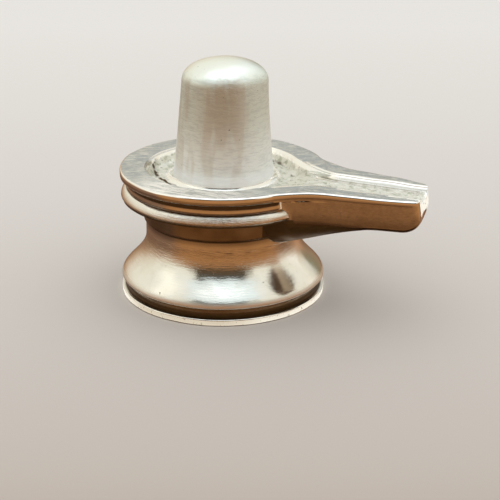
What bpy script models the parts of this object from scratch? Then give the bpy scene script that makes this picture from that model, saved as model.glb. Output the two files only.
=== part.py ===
"""A small cast metal shiva lingam standing in its yoni base, as one solid.

The origin is the centre of the flat underside, +Z is up, and the spout points along +X.
All sizes are in metres.
"""

import math

import bmesh
import bpy

MM = 0.001

# Round form: plate, bell and foot are turned to one outer radius
PLATE_RADIUS = 20.0 * MM
BELL_RADIUS = PLATE_RADIUS
FOOT_RADIUS = PLATE_RADIUS

# Foot: the ring that the casting stands on, and the groove above it
FOOT_RING_HEIGHT = 1.35 * MM
FOOT_GROOVE_HEIGHT = 2.05 * MM
FOOT_GROOVE_DEPTH = 1.15 * MM
FOOT_LEDGE_FALL = 0.35 * MM

# Bell: the wide skirt that sweeps in from its edge to the neck
BELL_HEIGHT = 8.8 * MM
BELL_UPPER_HANDLE = 0.54
BELL_LOWER_HANDLE = 0.21

# Neck and the collar above it, which carries the plate
NECK_RADIUS = 15.05 * MM
NECK_HEIGHT = 3.0 * MM
COLLAR_STEP = 0.4 * MM
COLLAR_HEIGHT = 3.7 * MM

# Plate: an arris, a bead, a groove and a lip, from below
PLATE_UNDERCUT = 0.4 * MM
ARRIS_HEIGHT = 0.35 * MM
ARRIS_INSET = 0.25 * MM
BEAD_HEIGHT = 2.05 * MM
BEAD_INSET = 0.15 * MM
PLATE_GROOVE_HEIGHT = 2.25 * MM
PLATE_GROOVE_DEPTH = 1.25 * MM
LIP_HEIGHT = 1.35 * MM

# Edges, broken by a file
EDGE_ROUND = 0.3 * MM

# Dish: the round hollow that surrounds the lingam, inside a rim of even width
RIM_WIDTH = 5.0 * MM
DISH_WALL_RUN = 1.6 * MM
DISH_DEPTH = 2.1 * MM
DISH_RADIUS = PLATE_RADIUS - RIM_WIDTH
DISH_FLOOR_RADIUS = DISH_RADIUS - DISH_WALL_RUN

# Lingam: a tapered shaft with a flattened dome, leaning a little towards the spout
SHAFT_FOOT_RADIUS = 9.8 * MM
SHAFT_TOP_RADIUS = 8.28 * MM
SHAFT_HEIGHT = 19.1 * MM
SHAFT_SWELL_POWER = 1.2
SHAFT_FILLET = 0.6 * MM
DOME_HEIGHT = 4.2 * MM
LEAN_AT_FOOT = 0.15 * MM
LEAN_AT_TOP = 0.5 * MM

# Spout: how far it stands out from the plate, and half widths at its top edge
SPOUT_LENGTH = 21.0 * MM
SPOUT_TIP_HALF_WIDTH = 5.4 * MM
SPOUT_WAIST_HALF_WIDTH = 7.95 * MM
SPOUT_SIDE_BULGE = 0.38
SPOUT_SIDE_DRAFT = 0.6 * MM
SPOUT_TIP_CORNER = 1.3 * MM
SPOUT_REACH = PLATE_RADIUS + SPOUT_LENGTH

# Root of the spout: its lip sweeps out to the plate's edge, and its side below the lip much less
WAIST_STAND_OFF = 5.0 * MM
ROOT_SETBACK = 4.5 * MM
ROOT_TUCK = 0.03 * MM
LOW_FLARE = 1.2 * MM
LOW_FLARE_ENDS = 0.8
SPOUT_WAIST_AT = PLATE_RADIUS + WAIST_STAND_OFF
SPOUT_ROOT_AT = PLATE_RADIUS - ROOT_SETBACK

# Nose and keel of the spout's hull
NOSE_DEPTH = 7.0 * MM
NOSE_ROUND = 3.7 * MM
NOSE_LENGTH = 9.5 * MM
KEEL_START = SPOUT_REACH - NOSE_LENGTH
KEEL_SLOPE = math.radians(18.5)
KEEL_BLEND = 1.5 * MM
HULL_POWER = 2.4

# Channel: the run-off cut along the spout, flaring into the dish
CHANNEL_HALF_WIDTH = 3.6 * MM
CHANNEL_MOUTH_FLARE = 2.5 * MM
CHANNEL_MOUTH_LENGTH = 7.0 * MM
CHANNEL_DEPTH = 1.15 * MM
CHANNEL_MOUTH_DEPTH = 1.6 * MM

# How finely the curves are faceted
TURN_STEPS = 64
SHAFT_STEPS = 48
CUTTER_CLEARANCE = 1.0 * MM
WELD_DISTANCE = 0.01 * MM

# Levels, each worked out from the heights above
FOOT_GROOVE_TOP = FOOT_RING_HEIGHT + FOOT_GROOVE_HEIGHT
BELL_TOP = FOOT_GROOVE_TOP + BELL_HEIGHT
COLLAR_BOTTOM = BELL_TOP + NECK_HEIGHT
PLATE_BOTTOM = COLLAR_BOTTOM + COLLAR_HEIGHT + PLATE_UNDERCUT
BEAD_BOTTOM = PLATE_BOTTOM + ARRIS_HEIGHT
BEAD_TOP = BEAD_BOTTOM + BEAD_HEIGHT
LIP_BOTTOM = BEAD_TOP + PLATE_GROOVE_HEIGHT
PLATE_TOP = LIP_BOTTOM + LIP_HEIGHT
DISH_FLOOR = PLATE_TOP - DISH_DEPTH
SHAFT_TOP = DISH_FLOOR + SHAFT_HEIGHT
NOSE_BOTTOM = PLATE_TOP - NOSE_DEPTH


def arc(centre_r, centre_z, radius_r, radius_z, start_deg, end_deg, steps):
    """Points of an elliptical arc in the (r, z) half plane, both ends included."""
    turn = math.radians(end_deg - start_deg)
    start = math.radians(start_deg)
    angles = [start + turn * i / steps for i in range(steps + 1)]
    return [(centre_r + radius_r * math.cos(a), centre_z + radius_z * math.sin(a)) for a in angles]


def bezier(p0, p1, p2, p3, steps):
    """Points of a cubic Bezier curve, both ends included."""
    points = []
    for i in range(steps + 1):
        t = i / steps
        shares = ((1 - t) ** 3, 3 * t * (1 - t) ** 2, 3 * t * t * (1 - t), t ** 3)
        points.append(tuple(sum(k * p[axis] for k, p in zip(shares, (p0, p1, p2, p3))) for axis in (0, 1)))
    return points


def foot_profile():
    """The foot ring and the groove above it, from the underside's edge up to the bell."""
    wall = FOOT_RADIUS - FOOT_GROOVE_DEPTH
    inner = FOOT_RADIUS - EDGE_ROUND
    lower_corner = arc(inner, EDGE_ROUND, EDGE_ROUND, EDGE_ROUND, -90, 0, 2)
    upper_corner = arc(inner, FOOT_RING_HEIGHT - EDGE_ROUND, EDGE_ROUND, EDGE_ROUND, 0, 60, 2)
    groove = [(wall, FOOT_RING_HEIGHT + FOOT_LEDGE_FALL), (wall, FOOT_GROOVE_TOP - EDGE_ROUND / 2)]
    return lower_corner + upper_corner + groove


def bell_profile():
    """The bell's broken edge, and the sweep from it up to the neck."""
    edge = arc(BELL_RADIUS - EDGE_ROUND, FOOT_GROOVE_TOP + EDGE_ROUND, EDGE_ROUND, EDGE_ROUND, -90, 0, 2)
    bottom = FOOT_GROOVE_TOP + EDGE_ROUND
    sweep = BELL_TOP - bottom
    curve = bezier(
        (BELL_RADIUS, bottom),
        (BELL_RADIUS, bottom + BELL_LOWER_HANDLE * sweep),
        (NECK_RADIUS, BELL_TOP - BELL_UPPER_HANDLE * sweep),
        (NECK_RADIUS, BELL_TOP),
        10,
    )
    return edge + curve[1:]


def collar_profile():
    """The collar on the neck, and the plate's underside out to its lower edge."""
    collar = NECK_RADIUS + COLLAR_STEP
    return [
        (NECK_RADIUS, COLLAR_BOTTOM - COLLAR_STEP / 2),
        (collar, COLLAR_BOTTOM),
        (collar, COLLAR_BOTTOM + COLLAR_HEIGHT),
        (PLATE_RADIUS - BEAD_INSET - ARRIS_INSET - EDGE_ROUND, PLATE_BOTTOM),
    ]


def plate_profile():
    """The plate's moulded side: arris, bead, groove and lip, from below."""
    arris = PLATE_RADIUS - BEAD_INSET - ARRIS_INSET
    wall = PLATE_RADIUS - PLATE_GROOVE_DEPTH
    bead_reach = PLATE_GROOVE_DEPTH - BEAD_INSET
    bead_middle = BEAD_BOTTOM + 0.4 * BEAD_HEIGHT
    lower_bead = arc(wall, bead_middle, bead_reach, bead_middle - BEAD_BOTTOM, -55, 0, 3)
    upper_bead = arc(wall, bead_middle, bead_reach, BEAD_TOP - bead_middle, 0, 80, 4)[1:]
    groove = [(wall, BEAD_TOP), (wall, LIP_BOTTOM - EDGE_ROUND / 2)]
    lip_edge = PLATE_RADIUS - EDGE_ROUND
    lip_bottom = arc(lip_edge, LIP_BOTTOM + EDGE_ROUND / 2, EDGE_ROUND, EDGE_ROUND / 2, -90, 0, 2)
    lip_top = arc(lip_edge, PLATE_TOP - EDGE_ROUND, EDGE_ROUND, EDGE_ROUND, 0, 90, 3)
    lower = [(arris, PLATE_BOTTOM + ARRIS_HEIGHT / 2)] + lower_bead + upper_bead
    return lower + groove + lip_bottom + lip_top


def pedestal_profile():
    """The whole turned outline, from the middle of the underside to the middle of the top."""
    outline = foot_profile() + bell_profile() + collar_profile() + plate_profile()
    return [(0.0, 0.0)] + outline + [(0.0, PLATE_TOP)]


def dish_profile():
    """The dish cutter's outline: floor, sloping wall and broken rim, open above the plate."""
    above = PLATE_TOP + CUTTER_CLEARANCE
    rim = [(DISH_RADIUS - EDGE_ROUND / 2, PLATE_TOP - EDGE_ROUND), (DISH_RADIUS + EDGE_ROUND, above)]
    return [(0.0, DISH_FLOOR), (DISH_FLOOR_RADIUS, DISH_FLOOR)] + rim + [(0.0, above)]


def lingam_profile():
    """The lingam from inside the casting, over the dish floor's fillet, up the shaft and over the dome."""
    buried = DISH_FLOOR - 2 * CUTTER_CLEARANCE
    foot = SHAFT_FOOT_RADIUS + SHAFT_FILLET
    fillet = [(foot, DISH_FLOOR), (foot - 0.7 * SHAFT_FILLET, DISH_FLOOR + 0.3 * SHAFT_FILLET)]
    shaft = []
    for i in range(9):
        share = i / 8
        height = SHAFT_FILLET + (SHAFT_HEIGHT - SHAFT_FILLET) * share
        drop = 1 - height / SHAFT_HEIGHT
        swell = (SHAFT_FOOT_RADIUS - SHAFT_TOP_RADIUS) * drop ** SHAFT_SWELL_POWER
        shaft.append((SHAFT_TOP_RADIUS + swell, DISH_FLOOR + height))
    dome = arc(0.0, SHAFT_TOP, SHAFT_TOP_RADIUS, DOME_HEIGHT, 0, 90, 9)[1:-1]
    return [(0.0, buried), (foot, buried)] + fillet + shaft + dome + [(0.0, SHAFT_TOP + DOME_HEIGHT)]


def half_width(reach):
    """The spout's half width along its top edge, at a distance from the lingam's axis."""
    to_waist = (SPOUT_REACH - reach) / (SPOUT_REACH - SPOUT_WAIST_AT)
    swell = to_waist * (1 + SPOUT_SIDE_BULGE * (1 - to_waist))
    return SPOUT_TIP_HALF_WIDTH + (SPOUT_WAIST_HALF_WIDTH - SPOUT_TIP_HALF_WIDTH) * swell


def root_flare(reach):
    """How far the spout's lip sweeps out beyond its half width, up to the plate's own edge at the root."""
    full = math.sqrt(PLATE_RADIUS ** 2 - SPOUT_ROOT_AT ** 2) - half_width(SPOUT_ROOT_AT) - ROOT_TUCK
    share = max(0.0, (SPOUT_WAIST_AT - reach) / (SPOUT_WAIST_AT - SPOUT_ROOT_AT))
    return full * share ** 2


def low_flare(reach):
    """How far the spout's side spreads below the lip: an ease that ends well before the root."""
    share = min(1.0, max(0.0, (SPOUT_WAIST_AT - reach) / (SPOUT_WAIST_AT - SPOUT_ROOT_AT) / LOW_FLARE_ENDS))
    return LOW_FLARE * share * share * (3 - 2 * share)


def rounding(reach, end, radius):
    """How far a quarter round of that radius draws in, close to the end."""
    into = min(radius, max(0.0, reach - (end - radius)))
    return radius - math.sqrt(max(0.0, radius ** 2 - into ** 2))


def keel_level(reach):
    """The spout's lowest level: flat under the nose, then falling towards the neck."""
    past = KEEL_START - reach
    eased = (past + math.sqrt(past ** 2 + KEEL_BLEND ** 2)) / 2
    return NOSE_BOTTOM - math.tan(KEEL_SLOPE) * eased + rounding(reach, SPOUT_REACH, NOSE_ROUND)


def spout_section(reach):
    """One cross section of the spout as (x, y, z) points, from its near top edge round to its far one."""
    depth = PLATE_TOP - PLATE_BOTTOM
    inside = reach < SPOUT_ROOT_AT
    lip = root_flare(reach)
    low = low_flare(reach)
    width = half_width(reach) - rounding(reach, SPOUT_REACH, SPOUT_TIP_CORNER)
    bottom = keel_level(reach)
    shoulder = min(depth, 0.8 * (PLATE_TOP - bottom))
    wall = [LIP_HEIGHT + (shoulder - LIP_HEIGHT) * share for share in (0.15, 0.4, 0.7, 1.0)]
    levels = [0.0, EDGE_ROUND * 0.3, EDGE_ROUND, LIP_HEIGHT] + wall
    broken = [EDGE_ROUND, EDGE_ROUND * 0.3] + [0.0] * 6
    flares = [lip] * 4 + [low + (lip - low) * 0.35] + [low] * 3
    side = []
    for below, edge, flare in zip(levels, broken, flares):
        out = width - SPOUT_SIDE_DRAFT * below / depth + flare - edge
        if inside:
            out = min(out, math.sqrt((PLATE_RADIUS - 1.2 * PLATE_GROOVE_DEPTH) ** 2 - reach ** 2))
        side.append((out, PLATE_TOP - below))
    last, level = side[-1]
    hull = []
    for i in range(1, 7):
        angle = math.radians(90 * i / 6)
        out = last * math.cos(angle) ** (2 / HULL_POWER) if i < 6 else 0.0
        hull.append((out, level - (level - bottom) * math.sin(angle) ** (2 / HULL_POWER)))
    near_half = side + hull
    far_half = [(-out, z) for out, z in reversed(near_half[:-1])]
    return [(reach, -out, z) for out, z in near_half + far_half]


def spout_reaches():
    """The distances from the axis at which the spout's sections stand."""
    inner = NECK_RADIUS - 4 * CUTTER_CLEARANCE
    root = [inner, SPOUT_ROOT_AT - 0.2 * MM]
    flare = [SPOUT_ROOT_AT + (SPOUT_WAIST_AT - SPOUT_ROOT_AT) * i / 7 for i in range(8)]
    waist = [SPOUT_WAIST_AT + (SPOUT_REACH - NOSE_ROUND - SPOUT_WAIST_AT) * i / 6 for i in range(1, 7)]
    nose = [SPOUT_REACH - NOSE_ROUND * (1 - math.sin(math.radians(a))) for a in (20, 38, 54, 66, 76, 84, 90)]
    return root + flare + waist + nose


def channel_section(reach):
    """One cross section of the channel cutter: a shallow trough, open above the plate."""
    mouth = DISH_RADIUS - CUTTER_CLEARANCE
    share = max(0.0, 1 - (reach - mouth) / CHANNEL_MOUTH_LENGTH)
    width = CHANNEL_HALF_WIDTH + CHANNEL_MOUTH_FLARE * share ** 2
    depth = CHANNEL_DEPTH + (CHANNEL_MOUTH_DEPTH - CHANNEL_DEPTH) * share ** 1.5
    above = PLATE_TOP + CUTTER_CLEARANCE
    half = [(width + EDGE_ROUND, above), (width, PLATE_TOP - EDGE_ROUND)]
    half += [(width * 0.86, PLATE_TOP - 0.72 * depth), (width * 0.5, PLATE_TOP - 0.97 * depth)]
    outline = half + [(0.0, PLATE_TOP - depth)] + [(-out, z) for out, z in reversed(half)]
    return [(reach, -out, z) for out, z in outline]


def channel_reaches():
    """The distances from the axis at which the channel cutter's sections stand."""
    start = DISH_FLOOR_RADIUS - CUTTER_CLEARANCE
    flare = [start + (CHANNEL_MOUTH_LENGTH + 2 * CUTTER_CLEARANCE) * i / 6 for i in range(7)]
    return flare + [SPOUT_REACH + 2 * CUTTER_CLEARANCE]


def new_object(name, mesh_maker):
    """A mesh object made by a function that fills a bmesh, with its faces pointing out."""
    made = bmesh.new()
    mesh_maker(made)
    bmesh.ops.recalc_face_normals(made, faces=made.faces)
    mesh = bpy.data.meshes.new(name)
    made.to_mesh(mesh)
    made.free()
    obj = bpy.data.objects.new(name, mesh)
    bpy.context.scene.collection.objects.link(obj)
    return obj


def turned(name, profile, steps):
    """A solid turned about the Z axis from a profile that starts and ends on the axis."""

    def fill(made):
        verts = [made.verts.new((r, 0.0, z)) for r, z in profile]
        edges = [made.edges.new(pair) for pair in zip(verts, verts[1:])]
        bmesh.ops.spin(
            made,
            geom=verts + edges,
            cent=(0, 0, 0),
            axis=(0, 0, 1),
            angle=2 * math.pi,
            steps=steps,
            use_merge=True,
        )
        bmesh.ops.remove_doubles(made, verts=made.verts, dist=1e-7)

    return new_object(name, fill)


def lofted(name, sections):
    """A solid skinned over closed sections, all with the same number of points, and capped at both ends."""

    def fill(made):
        loops = [[made.verts.new(point) for point in section] for section in sections]
        for loop, following in zip(loops, loops[1:]):
            for i in range(len(loop)):
                after = (i + 1) % len(loop)
                made.faces.new((loop[i], loop[after], following[after], following[i]))
        made.faces.new(loops[0])
        made.faces.new(loops[-1])

    return new_object(name, fill)


def leaned(obj):
    """The lingam's lean: every level above the dish floor slides towards the spout."""
    for vertex in obj.data.vertices:
        share = (vertex.co.z - DISH_FLOOR) / SHAFT_HEIGHT
        vertex.co.x += LEAN_AT_FOOT + (LEAN_AT_TOP - LEAN_AT_FOOT) * max(0.0, share)
    return obj


def combine(body, tool, operation):
    """A Boolean of the body with a tool, which itself is left out of the model."""
    tool.hide_render = True
    tool.display_type = "WIRE"
    modifier = body.modifiers.new(f"{operation.lower()}_{tool.name}", "BOOLEAN")
    modifier.operation = operation
    modifier.solver = "EXACT"
    modifier.object = tool


def white_metal():
    """The casting's pale, slightly warm metal with its filed, satin surface."""
    material = bpy.data.materials.new("white_metal")
    material.use_nodes = True
    shader = material.node_tree.nodes["Principled BSDF"]
    shader.inputs["Base Color"].default_value = (0.72, 0.69, 0.62, 1.0)
    shader.inputs["Metallic"].default_value = 1.0
    shader.inputs["Roughness"].default_value = 0.3
    return material


def main():
    """Builds the casting: pedestal and spout together, then the dish and channel cut, then the lingam."""
    for old in list(bpy.data.objects):
        bpy.data.objects.remove(old)
    casting = turned("shiva_lingam", pedestal_profile(), TURN_STEPS)
    spout = lofted("spout_form", [spout_section(reach) for reach in spout_reaches()])
    dish = turned("dish_cutter", dish_profile(), TURN_STEPS)
    channel = lofted("channel_cutter", [channel_section(reach) for reach in channel_reaches()])
    lingam = leaned(turned("lingam_form", lingam_profile(), SHAFT_STEPS))
    combine(casting, spout, "UNION")
    combine(casting, dish, "DIFFERENCE")
    combine(casting, channel, "DIFFERENCE")
    combine(casting, lingam, "UNION")
    weld = casting.modifiers.new("weld", "WELD")
    weld.merge_threshold = WELD_DISTANCE
    casting.data.materials.append(white_metal())
    casting.data.shade_smooth()
    casting.data.set_sharp_from_angle(angle=math.radians(35))


main()
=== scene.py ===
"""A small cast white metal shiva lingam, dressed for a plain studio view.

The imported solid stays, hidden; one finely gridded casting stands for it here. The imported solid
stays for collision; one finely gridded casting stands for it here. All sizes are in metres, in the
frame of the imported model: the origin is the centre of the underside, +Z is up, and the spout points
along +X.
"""

import logging
from dataclasses import dataclass, field
from enum import Enum

import bpy
import numpy as np
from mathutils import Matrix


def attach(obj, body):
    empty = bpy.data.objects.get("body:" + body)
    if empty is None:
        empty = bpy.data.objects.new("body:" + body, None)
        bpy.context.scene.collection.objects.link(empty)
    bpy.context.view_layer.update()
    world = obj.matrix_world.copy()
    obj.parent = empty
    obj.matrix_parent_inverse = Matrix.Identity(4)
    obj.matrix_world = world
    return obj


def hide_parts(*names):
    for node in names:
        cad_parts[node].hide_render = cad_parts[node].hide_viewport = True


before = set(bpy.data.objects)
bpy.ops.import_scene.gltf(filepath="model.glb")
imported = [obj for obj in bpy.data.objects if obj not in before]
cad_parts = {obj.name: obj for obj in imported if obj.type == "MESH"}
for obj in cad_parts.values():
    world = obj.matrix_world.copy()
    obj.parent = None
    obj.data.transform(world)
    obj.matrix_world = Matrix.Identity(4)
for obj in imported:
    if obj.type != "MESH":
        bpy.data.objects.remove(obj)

MM = 0.001
LOG = logging.getLogger("lingam")
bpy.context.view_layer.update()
Span = tuple[float, float]
Point = tuple[float, float, float]
Tint = tuple[float, float, float, float]


class Skin(Enum):
    """What was done to a stretch of the casting's surface after it was cast, and where shade is painted on
    it.
    """

    AS_CAST = "as_cast"
    # This entry holds real dirt together with painted shade in creases, grooves and under ledges.
    GRIME = "grime_and_shade"
    TARNISH = "tarnish"
    BURNISHED = "burnished"


def smooth_step(low: float, high: float, value: np.ndarray) -> np.ndarray:
    """A cubic ease from 0 at low to 1 at high.

    Args:
        low: Where the ease starts.
        high: Where the ease ends.
        value: The values to ease.

    Returns:
        t * t * (3 - 2 t), with t the value's share of the way, held to 0..1.
    """
    share = np.clip((value - low) / (high - low), 0.0, 1.0)
    return share * share * (3.0 - 2.0 * share)


def blend(start: np.ndarray, end: np.ndarray, share: np.ndarray) -> np.ndarray:
    """Start plus share times the way to end."""
    return start + (end - start) * share


def bezier(knots: np.ndarray, shares: np.ndarray) -> np.ndarray:
    """Points of a cubic Bezier curve: its four knots weighted by the Bernstein polynomials.

    Args:
        knots: Four rows of coordinates.
        shares: Shares of the way, from 0 to 1.

    Returns:
        One row for each share.
    """
    t = shares[:, None]
    weights = [(1 - t) ** 3, 3 * t * (1 - t) ** 2, 3 * t * t * (1 - t), t ** 3]
    return np.concatenate(weights, axis=1) @ knots


def arc_points(centre: Span, radii: Span, turn: Span, steps: int) -> np.ndarray:
    """Points of an elliptical arc: centre plus radii times cosine and sine of the angle.

    Args:
        centre: Centre in the (r, z) half plane.
        radii: Half axes along r and z.
        turn: First and last angle, in degrees.
        steps: Number of steps between the two.

    Returns:
        An array of (r, z) rows, both ends included.
    """
    angle = np.radians(np.linspace(turn[0], turn[1], steps + 1))
    return np.stack([centre[0] + radii[0] * np.cos(angle), centre[1] + radii[1] * np.sin(angle)], axis=1)


def line_points(start: Span, end: Span, steps: int) -> np.ndarray:
    """Points of a straight line, start plus an even share of the way, without the first point."""
    share = np.linspace(0.0, 1.0, steps + 1)[1:, None]
    return np.asarray(start) * (1.0 - share) + np.asarray(end) * share


def even_points(path: np.ndarray, spacing: np.ndarray) -> np.ndarray:
    """Points along a polyline, at the given shares of its length.

    Args:
        path: Rows of points.
        spacing: Shares of the whole length, from 0 to 1.

    Returns:
        One row for each share, found by linear interpolation over arc length.
    """
    length = np.concatenate([[0.0], np.cumsum(np.linalg.norm(np.diff(path, axis=0), axis=1))])
    return np.stack([np.interp(spacing * length[-1], length, column) for column in path.T], axis=1)


def half_ring(start: Span | np.ndarray, shares: np.ndarray) -> np.ndarray:
    """Points of a circle round the axis, from a starting point to the far side.

    Args:
        start: The starting point, as (x, half width).
        shares: Shares of the turn.

    Returns:
        (x, half width) rows.
    """
    first = np.arctan2(start[1], start[0])
    angle = first + (np.pi - first) * shares
    return np.hypot(*start) * np.stack([np.cos(angle), np.sin(angle)], axis=1)


def between(inner: np.ndarray, outer: np.ndarray, share: np.ndarray) -> tuple[np.ndarray, np.ndarray]:
    """Points between two plan curves, with radius and angle about the axis in even shares.

    Args:
        inner: (x, half width) rows.
        outer: As many of the outer curve.
        share: A column of shares of the way out.

    Returns:
        x and half width, one row for each share.
    """
    radius = blend(np.hypot(*inner.T), np.hypot(*outer.T), share)
    angle = blend(np.arctan2(inner[:, 1], inner[:, 0]), np.arctan2(outer[:, 1], outer[:, 0]), share)
    return radius * np.cos(angle), radius * np.sin(angle)


def band(low: float, high: float, soft: float, value: np.ndarray) -> np.ndarray:
    """1 between low and high, easing to 0 over a soft border outside them."""
    return smooth_step(low - soft, low, value) * (1.0 - smooth_step(high, high + soft, value))


def crease(middle: float, spread: float, value: np.ndarray) -> np.ndarray:
    """A bell curve round a middle value: e to the minus square of the distance over the spread."""
    return np.exp(-((value - middle) / spread) ** 2)


@dataclass(frozen=True)
class Ripple:
    """A smooth, repeatable unevenness: a sum of sine waves along seeded directions. In millimetres."""

    height: float
    length: float
    seed: int
    waves: int = 7

    def over(self, rows: np.ndarray) -> np.ndarray:
        """The height times the sum of the sines over the root of their number, so mostly within the height.

        Args:
            rows: Rows of (x, y, z).

        Returns:
            One value for each row.
        """
        rng = np.random.default_rng(self.seed)
        ways = rng.normal(size=(self.waves, 3))
        ways /= np.linalg.norm(ways, axis=1, keepdims=True)
        rates = 2.0 * np.pi / self.length * rng.uniform(0.6, 1.6, size=self.waves)
        phases = rng.uniform(0.0, 2.0 * np.pi, size=self.waves)
        waves = np.sin(rows @ (ways * rates[:, None]).T + phases)
        return self.height * waves.sum(axis=1) / np.sqrt(self.waves)


class Place:
    """The points of a mesh in millimetres, with their distances from the axis and the middle plane."""

    def __init__(self, points: np.ndarray) -> None:
        """Works out the distances, and how far towards the spout each point lies, as a cosine.

        Args:
            points: Rows of (x, y, z), in metres.
        """
        self.rows = points / MM
        self.x, self.y, self.z = self.rows.T
        self.radius = np.hypot(self.x, self.y)
        self.off = np.abs(self.y)
        self.ahead = self.x / np.maximum(self.radius, 1.0)


@dataclass(frozen=True)
class Pedestal:
    """The turned form: foot ring, groove, bell, neck, collar and the plate's moulded side."""

    radius: float = 20.0 * MM
    edge: float = 0.28 * MM
    rim_edge: float = 0.46 * MM
    foot_ring: float = 1.35 * MM
    foot_groove: float = 3.42 * MM
    foot_wall: float = 18.85 * MM
    bell_top: float = 12.2 * MM
    neck: float = 15.05 * MM
    collar: float = 15.45 * MM
    collar_bottom: float = 15.2 * MM
    collar_top: float = 19.15 * MM
    plate_bottom: float = 19.3 * MM
    arris: float = 19.55 * MM
    small_round: float = 0.3 * MM
    bead_bottom: float = 19.66 * MM
    bead_top: float = 21.72 * MM
    bead_inset: float = 0.16 * MM
    bead_power: float = 1.55
    plate_wall: float = 18.75 * MM
    lip_bottom: float = 23.78 * MM
    top: float = 25.3 * MM

    def moulding(self) -> np.ndarray:
        """The plate's side from its top edge down to the collar: lip, groove, half-round bead and arris.

        Returns:
            (r, z) rows, each stretch a straight line or an elliptical arc.
        """
        lip = self.radius - self.edge - 0.02 * MM
        rim = self.radius - self.rim_edge, self.top - self.rim_edge
        lip_edge = self.lip_bottom + self.edge
        cove = 0.2 * MM
        cove_top = self.plate_wall + cove, self.lip_bottom + 0.04 * MM
        cove_bottom = self.lip_bottom - 0.16 * MM
        bead_middle = self.bead_bottom + 0.24 * (self.bead_top - self.bead_bottom)
        lower = bead_middle - self.bead_bottom
        reach = self.radius - self.bead_inset - self.plate_wall
        turn = np.radians(np.linspace(84.0, 0.0, 11))
        flat = 2.0 / self.bead_power
        bead = np.stack([self.plate_wall + reach * np.cos(turn) ** flat,
                         bead_middle + (self.bead_top - bead_middle) * np.sin(turn) ** flat], axis=1)
        arris = self.arris, 19.62 * MM
        return np.concatenate([
            arc_points(rim, (self.rim_edge, self.rim_edge), (90, 0), 7),
            line_points((self.radius, rim[1]), (self.radius - 0.02 * MM, lip_edge), 3),
            arc_points((lip, lip_edge), (self.edge, self.edge), (0, -90), 4)[1:],
            line_points((lip, self.lip_bottom), cove_top, 3),
            arc_points((cove_top[0], cove_bottom), (cove, cove), (90, 180), 3)[1:],
            line_points((self.plate_wall, cove_bottom), (self.plate_wall, self.bead_top + 0.15 * MM), 6),
            bead,
            arc_points((self.plate_wall, bead_middle), (reach, lower), (0, -58), 5)[1:],
            line_points((19.32 * MM, 19.72 * MM), arris, 2),
            line_points(arris, (19.5 * MM, self.plate_bottom + 0.08 * MM), 2),
            line_points((19.4 * MM, self.plate_bottom), (15.75 * MM, self.collar_top + 0.03 * MM), 9),
        ])

    def stem(self, keel_root: float) -> np.ndarray:
        """The collar, the step below it and the neck, down to the level where the spout's keel joins it.

        Args:
            keel_root: That level.

        Returns:
            (r, z) rows.
        """
        corner = self.small_round, self.small_round
        top = self.collar_top - 0.27 * MM
        low = 0.12 * MM
        neck_top = self.collar_bottom - 0.3 * MM
        return np.concatenate([
            arc_points((self.collar + self.small_round, top), corner, (90, 180), 4)[1:],
            line_points((self.collar, top), (self.collar, self.collar_bottom + low), 12),
            arc_points((self.collar - low, self.collar_bottom + low), (low, low), (0, -80), 3)[1:],
            line_points((15.1 * MM, self.collar_bottom - 0.1 * MM), (self.neck, neck_top), 2),
            line_points((self.neck, neck_top), (self.neck, keel_root), 9),
        ])

    def bell(self, steps: int = 34) -> np.ndarray:
        """The bell's sweep: a cubic Bezier curve from the neck down to its broad edge.

        Args:
            steps: How many steps it has.

        Returns:
            (r, z) rows from the top down.
        """
        low = self.foot_groove + self.edge
        sweep = self.bell_top - low
        knots = [(self.neck, self.bell_top), (self.neck, self.bell_top - 0.54 * sweep),
                 (self.radius, low + 0.21 * sweep), (self.radius, low)]
        return bezier(np.array(knots), np.linspace(0.0, 1.0, steps + 1))

    def foot(self) -> np.ndarray:
        """The bell's rounded edge, the groove, the foot ring and the flat underside.

        Returns:
            (r, z) rows, down to the middle of the underside.
        """
        inner = self.radius - self.edge
        wall, ring, round_off = self.foot_wall, self.foot_ring, self.small_round
        edge = self.edge, self.edge
        return np.concatenate([
            arc_points((inner, self.foot_groove + self.edge), edge, (0, -90), 5)[1:],
            line_points((inner, self.foot_groove), (wall + 0.15 * MM, self.foot_groove - 0.03 * MM), 3),
            line_points((wall, self.foot_groove - 0.15 * MM), (wall, ring + 0.4 * MM), 6),
            line_points((wall + 0.08 * MM, ring + 0.22 * MM), (inner - 0.1 * MM, ring + 0.02 * MM), 5),
            arc_points((inner, ring - self.edge), edge, (80, 0), 5),
            line_points((self.radius, ring - self.edge), (self.radius, round_off), 3),
            arc_points((self.radius - round_off, round_off), (round_off, round_off), (0, -90), 5)[1:],
            line_points((self.radius - round_off, 0.0), (0.0, 0.0), 14),
        ])


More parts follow.
